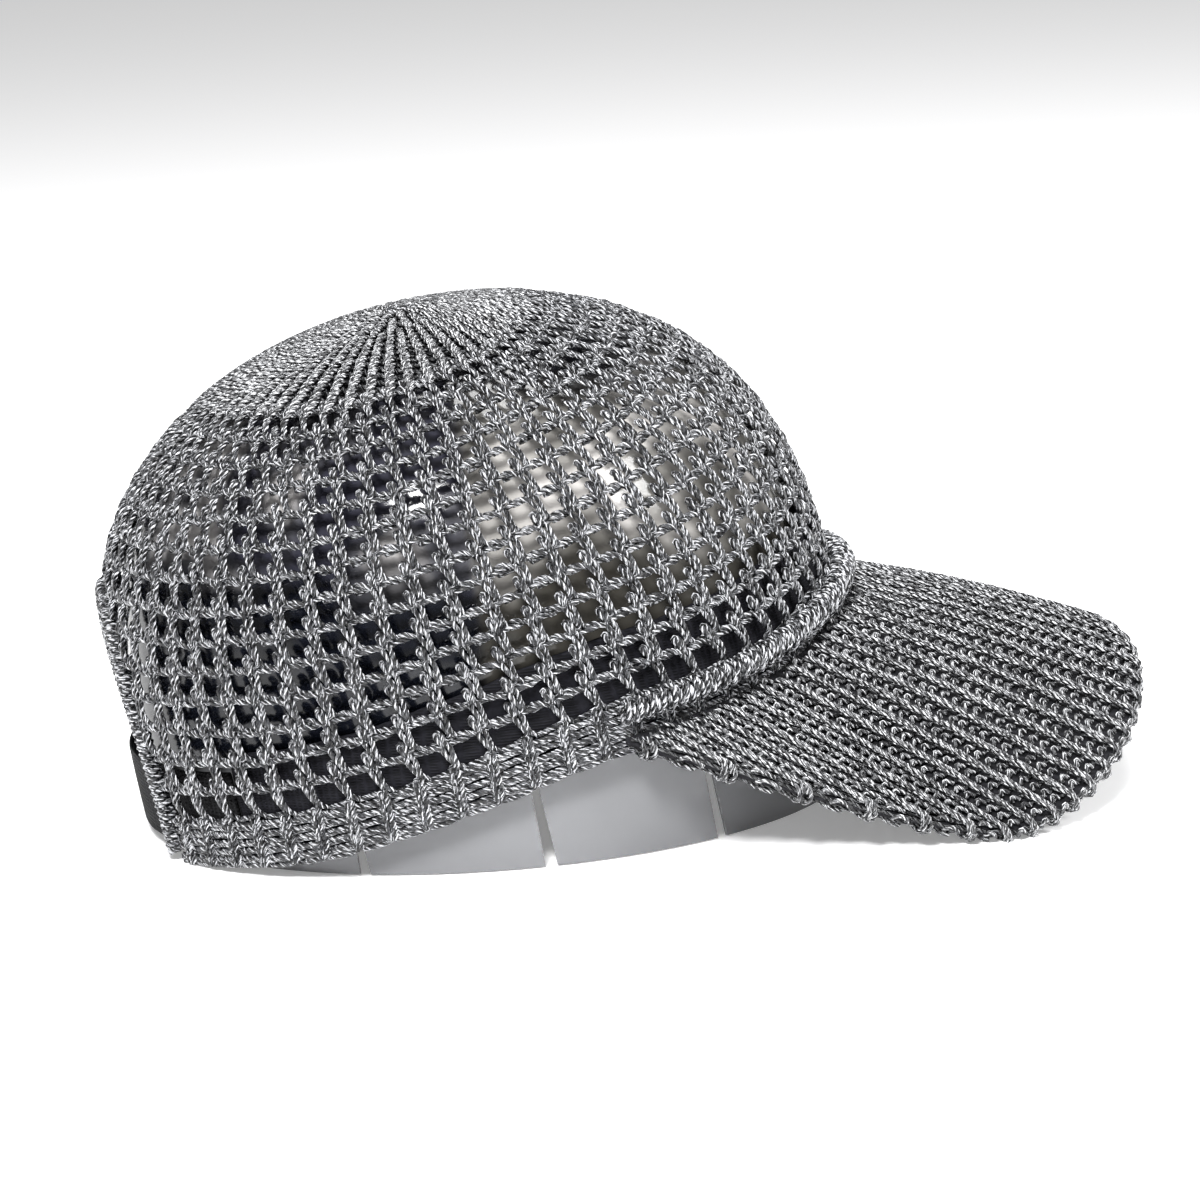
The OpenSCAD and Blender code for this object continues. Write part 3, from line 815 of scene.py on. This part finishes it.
def cloth_band(deg, low, high, outer, inner, swell=0.06):
    """A strip of cloth or webbing that follows the crown: angles from the front, heights of its edges and
    offsets of its faces, one of each per column. Its edges are rounded and its faces slightly domed."""
    across = np.array([0, 0.01, 0.04, 0.2, 0.35, 0.5, 0.65, 0.8, 0.96, 0.99, 1.0])
    full = np.sqrt(np.clip(1 - (np.abs(across - 0.5) * 2) ** 24, 0.02, 1))
    face = np.concatenate([across, across[::-1]])
    side = np.concatenate([full, -full[::-1]])
    columns = np.broadcast_arrays(deg, low, high, outer, inner)
    deg, low, high, outer, inner = (np.asarray(a, float)[:, None] for a in columns)
    middle, half = (outer + inner) / 2, (outer - inner) / 2
    off = middle + half * side[None, :] * (1 + swell * np.sin(np.pi * face)[None, :] - swell)
    return crown_point(deg, low + (high - low) * face[None, :], off)


def solid(name, rows, material, body="cap"):
    verts, quads = closed_grid(rows)
    return mesh_object(name, verts, quads, None, material, body)


def build_crown():
    chains, rungs = rib_zone()
    # The chains take the yarn painted lighter as if lit; the rungs take the yarn painted darker as painted
    # shade between the ribs.
    ribs = chains.build("crown_rib_chains", yarn_painted_lit, "knit_charcoal")
    rungs.build("crown_rib_rungs", yarn_painted_shade, "knit_charcoal")
    for i, zone in enumerate(mesh_zone()):
        zone.build(f"crown_mesh_{i + 1}", yarn, "knit_charcoal")
    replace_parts(ribs, "crown_knit")
    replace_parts(apex_coil().build("apex_gather", yarn, "knit_charcoal"), "apex_closure")
    hem = hem_band().build("hem_knit", yarn, "knit_charcoal")
    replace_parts(hem, "crown_hem")


def build_trims():
    share = np.linspace(0, 1, 220)
    inset = TRIM_D / 2 + 0.5
    y = (ARCH_HALF - inset) * np.cos(np.pi * share)
    z = TRIM_D / 2 * np.abs(np.cos(np.pi * share)) ** 40 + (ARCH_H - inset) * np.sin(np.pi * share)
    deg = 180 - np.degrees(np.arcsin(y / (HEM_WID / 2)))
    path = crown_point(deg, z)
    outward = crown_point(deg, z, 1.0) - path
    trim = wrapped_roll(path, outward, TRIM_D / 2 + 0.2, 1.7).build("arch_binding", yarn, "knit_charcoal")
    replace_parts(trim, "arch_trim")
    deg = TEMPLE_DEG * 0.985 * (2 * share - 1)
    height = hem_edge(deg) + BRIM_LIFT + COVER_OUT + ROLL_D / 2 + 1.6
    path = crown_point(deg, height, SEAM_OUT + ROLL_D / 2 - 0.6)
    outward = crown_point(deg, height, SEAM_OUT + ROLL_D) - path
    roll = wrapped_roll(path, outward, ROLL_D / 2 + 0.1, 3.1).build("seam_roll_knit", yarn, "knit_charcoal")
    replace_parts(roll, "brim_seam_roll")


# The strap, as in the CAD: angles from the centre back, positive on the near side, and the crown's offsets
WEB_T, PATCH_T, STRAP_W, STRAP_LOW = 0.8, 0.4, 20.0, 3.5
FLAP_OUT = -2.4
FLAP_IN = FLAP_OUT - WEB_T
HOOK_OUT, HOOK_IN = FLAP_IN - 0.05, FLAP_IN - 0.05 - PATCH_T
PATCH_OUT, PATCH_IN = HOOK_IN - 0.3, HOOK_IN - 0.3 - PATCH_T
LOOP_OUT = PATCH_IN - 0.05
SEWN_OUT = -KNIT_T / 2 - 0.3
PER_MM = 180 / (np.pi * HEM_WID / 2)
FOLD = math.degrees(math.asin(2 * ARCH_HALF / HEM_WID)) + 1.5
END = FOLD + 18 * PER_MM
FREE_Y = ARCH_HALF * math.sqrt(1 - ((STRAP_LOW + STRAP_W) / ARCH_H) ** 2) - TRIM_D - 1.8
FREE = math.degrees(math.asin(2 * FREE_Y / HEM_WID))
PEEL = 3 * PER_MM
TIP_END = PEEL - 24 * PER_MM
SWEAT_END = 179 - END


def strap_band(name, first, last, outer, inner, material, body="cap", width=STRAP_W):
    """Webbing between two angles from the centre back.
    outer and inner are offsets of its faces, or functions of the angle."""
    count = max(8, int(abs(last - first) * 2))
    angle = np.linspace(first, last, count)
    faces = [f(angle) if callable(f) else f for f in (outer, inner)]
    low = STRAP_LOW + (STRAP_W - width) / 2
    return solid(name, cloth_band(angle - 180, low, low + width, *faces), material, body)


def loop_face(angle):
    flat = FLAP_OUT + (LOOP_OUT - FLAP_OUT) * smooth((FOLD + angle) / (FOLD + TIP_END - 1))
    return flat + (SEWN_OUT - FLAP_OUT) * smooth(-angle, FOLD - 0.3, FOLD + 0.5)


def build_strap():
    loop_side = strap_band("loop_webbing", -END, PEEL + 8 * PER_MM, loop_face,
                           lambda a: loop_face(a) - WEB_T - 0.6 * smooth(-a, FOLD - 0.3, FOLD + 0.5),
                           webbing)
    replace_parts(loop_side, "strap_loop_side")
    patch_end, patch_w = PEEL - 2 * PER_MM, STRAP_W - 3
    loops = strap_band("loop_pile", TIP_END, patch_end, PATCH_OUT, PATCH_IN, pile,
                       width=patch_w)
    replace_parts(loops, "loop_patch")
    hooks = strap_band("hook_pile", TIP_END + 2 * PER_MM, patch_end, HOOK_OUT, HOOK_IN, pile,
                       "strap_tip", patch_w)
    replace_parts(hooks, "hook_patch")
    anchor = strap_band("flap_sewn_end", FREE + 5, END,
                        lambda a: FLAP_OUT + (SEWN_OUT - FLAP_OUT) * smooth(a, FOLD - 0.3, FOLD + 0.5),
                        FLAP_IN, webbing)
    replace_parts(anchor, "strap_anchor")
    half_way = PEEL / 2 + FREE / 2
    root = strap_band("flap_webbing", half_way, FREE + 5, FLAP_OUT, FLAP_IN, webbing, None)
    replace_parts(root, "strap_flap_root")
    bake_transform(root)
    tip = strap_band("flap_loose_end", TIP_END, half_way, FLAP_OUT, FLAP_IN, webbing, None)
    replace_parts(tip, "strap_flap_tip")
    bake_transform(tip)


TACKS = 9


def build_tacks():
    """Bar tacks: a close row of short stitches over a core thread at each sewn end of the strap."""
    strands = Strands()
    for hand, face in ((-1, SEWN_OUT - 1.4), (1, FLAP_IN)):
        place = hand * (FOLD + END) / 2
        height = STRAP_LOW + 3 + (STRAP_W - 6) * np.linspace(0, 1, 12)
        core = crown_point(place - 180 + 0 * height, height, face - 0.35)
        out = crown_point(place - 180 + 0 * height, height, face + 1.0) - core
        strands.add(core, out, 0.3)
        across = np.linspace(-1, 1, 5)
        for z in STRAP_LOW + 3.5 + (STRAP_W - 7) * np.arange(TACKS) / (TACKS - 1):
            deg = place - 180 + across * 1.1 * PER_MM
            off = face - 0.15 - 0.45 * (1 - across ** 2)
            stitch = crown_point(deg, z + 0.3 * across, off)
            strands.add(stitch, crown_point(deg, z + 0.3 * across, off + 1.0) - stitch, 0.22)
    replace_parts(strands.build("tack_stitches", thread, "thread_black"), "strap_bar_tacks")


SWEAT_EDGES = (1, 28)           # heights of the band's edges over the hem's edge
SWEAT_FACES = (-KNIT_T / 2 - 0.3, -KNIT_T / 2 - 1.7)


def build_sweatband():
    deg = np.linspace(-SWEAT_END, SWEAT_END, 300)
    ripple = 0.12 * np.sin(np.radians(deg) * 23) + 0.08 * np.sin(np.radians(deg) * 51)
    low, high = (hem_edge(deg) + height + ripple for height in SWEAT_EDGES)
    rows = cloth_band(deg, low, high, *SWEAT_FACES)
    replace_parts(solid("sweatband_twill", rows, cloth_black), "sweatband")


BOARD_T = 2.0


def build_board():
    skin = brim_surface(BOARD_T / 2)[0].points[::2, ::4]
    board = solid("brim_stiffener", np.transpose(skin, (1, 0, 2))[:, ::-1], board_plastic)
    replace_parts(board, "brim_board")


BRIM_PARTS = {"front": (0, 12), "back": (12, 26), "under": (-13, 0), "under_back": (-27, -13)}


def build_brim():
    for part, (first, last) in BRIM_PARTS.items():
        raised, sunken = brim_knit(first, last)
        # The ribs take the yarn painted lighter as if lit; the rungs take the yarn painted darker as
        # painted shade between the ribs.
        top = raised.build(f"brim_knit_{part}", yarn_painted_lit, "knit_charcoal")
        sunken.build(f"brim_rungs_{part}", yarn_painted_shade, "knit_charcoal")
        if part == "front":
            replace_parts(top, "brim_upper_cover")
        if part == "under":
            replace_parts(top, "brim_under_cover")


# The former, as in the CAD, with finer columns and rows
FORMER_OFF, FORMER_T, FORMER_H = -5.7, 0.9, 112.0
TABS, SLIT_W, SLIT_TOP, TAB_LIFT = 12, 2.4, 4.0, 0.4
TAB_COLS = 11           # columns of points across a tab


def former_columns():
    """Angles of the former's columns, and whether each lies in a slit between two tabs."""
    turn = 360 / TABS
    slit = math.degrees(SLIT_W / (HEM_WID / 2 + FORMER_OFF))
    deg, in_slit = [], []
    for k in range(TABS):
        start = k * turn + slit / 2
        middle = (k + 1) * turn
        deg += list(start + (turn - slit) * np.linspace(0, 1, TAB_COLS))
        deg += [middle - slit / 4, middle + slit / 4]
        in_slit += [False] * TAB_COLS + [True] * 2
    return np.array(deg), np.array(in_slit)


def former_grid(inset):
    deg, in_slit = former_columns()
    x = (HEM_LEN / 2 + FORMER_OFF) * np.cos(np.radians(deg))
    floor = (TAB_LIFT - hem_centre[2] / MM - x * SEAT_SIN) / SEAT_COS
    low = np.where(in_slit, hem_edge(deg) + SLIT_TOP, floor)
    share = np.array([0, 0.002, 0.01, 0.05, 0.1, 0.2, 0.3, 0.4, 0.5, 0.6, 0.7, 0.8, 0.9, 1.0])[:, None]
    wall = low + (0.6 * FORMER_H - low) * share
    radius = np.concatenate([np.linspace(0.90, 0.30, 22), np.linspace(0.27, 0.02, 8)])
    dome = FORMER_H * (1 - radius ** 2) ** (1 / CROWN_POW)
    height = np.concatenate([wall, dome[:, None] + 0 * wall[:1]])
    r = ring_scale(height / FORMER_H)
    lowered = np.where(height > 0, height * (1 - inset / FORMER_H), height)
    t = np.radians(deg)
    return np.stack([(HEM_LEN / 2 + FORMER_OFF - inset) * r * np.cos(t),
                     (HEM_WID / 2 + FORMER_OFF - inset) * r * np.sin(t), lowered], -1)


def build_former():
    outer, inner = former_grid(0.0), former_grid(FORMER_T)
    rows, cols = outer.shape[:2]
    index = np.arange(rows * cols).reshape(rows, cols)

    def skin(a, b):
        return np.stack([a, np.roll(a, -1, -1), np.roll(b, -1, -1), b], -1).reshape(-1, 4)

    under = index + rows * cols
    quads = [skin(index[:-1], index[1:]), skin(under[:-1], under[1:])[:, ::-1], skin(under[0], index[0]),
             ring_cap(index[-1]), ring_cap(under[-1])[:, ::-1]]
    shell = mesh_object("former_shell", np.concatenate([outer.reshape(-1, 3), inner.reshape(-1, 3)]),
                        np.concatenate(quads), None, clear_sheet, "former")
    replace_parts(shell, "crown_former")


build_crown()
build_trims()
build_brim()
build_board()
build_sweatband()
build_strap()
build_tacks()
build_former()


# ---------------------------------------------------------------- floor, light and camera
def stage_floor():
    n = Nodes("floor_white")
    diffuse = n.new("ShaderNodeBsdfDiffuse")
    diffuse.inputs["Color"].default_value = (0.95, 0.95, 0.955, 1)
    glow = n.new("ShaderNodeEmission", Strength=0.25)
    both = n.new("ShaderNodeAddShader")
    n.link(diffuse.outputs[0], both.inputs[0])
    n.link(glow.outputs[0], both.inputs[1])
    bpy.ops.mesh.primitive_plane_add(size=14.0, location=(0, 0, 0))
    floor = bpy.context.object
    floor.name = "floor"
    floor.data.materials.append(n.finish(both))


def area_light(name, place, size, power):
    light = bpy.data.lights.new(name, "AREA")
    light.shape = "RECTANGLE"
    light.size, light.size_y = size
    light.energy = power
    obj = bpy.data.objects.new(name, light)
    bpy.context.scene.collection.objects.link(obj)
    obj.location = place
    obj.rotation_mode = "QUATERNION"
    obj.rotation_quaternion = (Vector((0, 0, 0.05)) - Vector(place)).to_track_quat("-Z", "Y")


def stage_lights():
    world = bpy.data.worlds.new("studio")
    world.use_nodes = True
    world.node_tree.nodes["Background"].inputs[0].default_value = (1, 1, 1, 1)
    world.node_tree.nodes["Background"].inputs[1].default_value = 0.28
    bpy.context.scene.world = world
    area_light("key", (-0.35, -0.85, 0.95), (0.30, 0.30), 24.5)
    area_light("top", (0.15, 0.1, 1.2), (0.6, 0.5), 16.0)
    area_light("front", (1.0, -0.6, 0.8), (0.4, 0.5), 14.0)


CAM_AZ, CAM_EL, CAM_ROLL = -9.8, 13.3, 3.26      # degrees; the picture leans anticlockwise by the roll
CAM_DISTANCE, FIELD_WIDTH = 1.1, 0.3077         # metres; the field is measured at the point aimed past
CAM_MARK = Vector((-0.01435, 0.0, 0.0732))       # a point near the middle of the cap
CAM_ASIDE = Vector((0.0104, -0.0229, 0.0))      # from that point to the middle of the picture, right and up


def stage_camera():
    azimuth, elevation = math.radians(CAM_AZ), math.radians(CAM_EL)
    back = Vector((math.sin(azimuth) * math.cos(elevation), -math.cos(azimuth) * math.cos(elevation),
                   math.sin(elevation)))
    data = bpy.data.cameras.new("camera")
    data.sensor_width = 36.0
    data.lens = data.sensor_width * CAM_DISTANCE / FIELD_WIDTH
    cam = bpy.data.objects.new("camera", data)
    bpy.context.scene.collection.objects.link(cam)
    cam.rotation_mode = "QUATERNION"
    turned = (-back).to_track_quat("-Z", "Y") @ Quaternion((0, 0, 1), -math.radians(CAM_ROLL))
    cam.rotation_quaternion = turned
    cam.location = CAM_MARK + turned @ CAM_ASIDE + back * CAM_DISTANCE
    bpy.context.scene.camera = cam


bpy.context.scene.view_settings.view_transform = "Standard"
stage_floor()
stage_lights()
stage_camera()
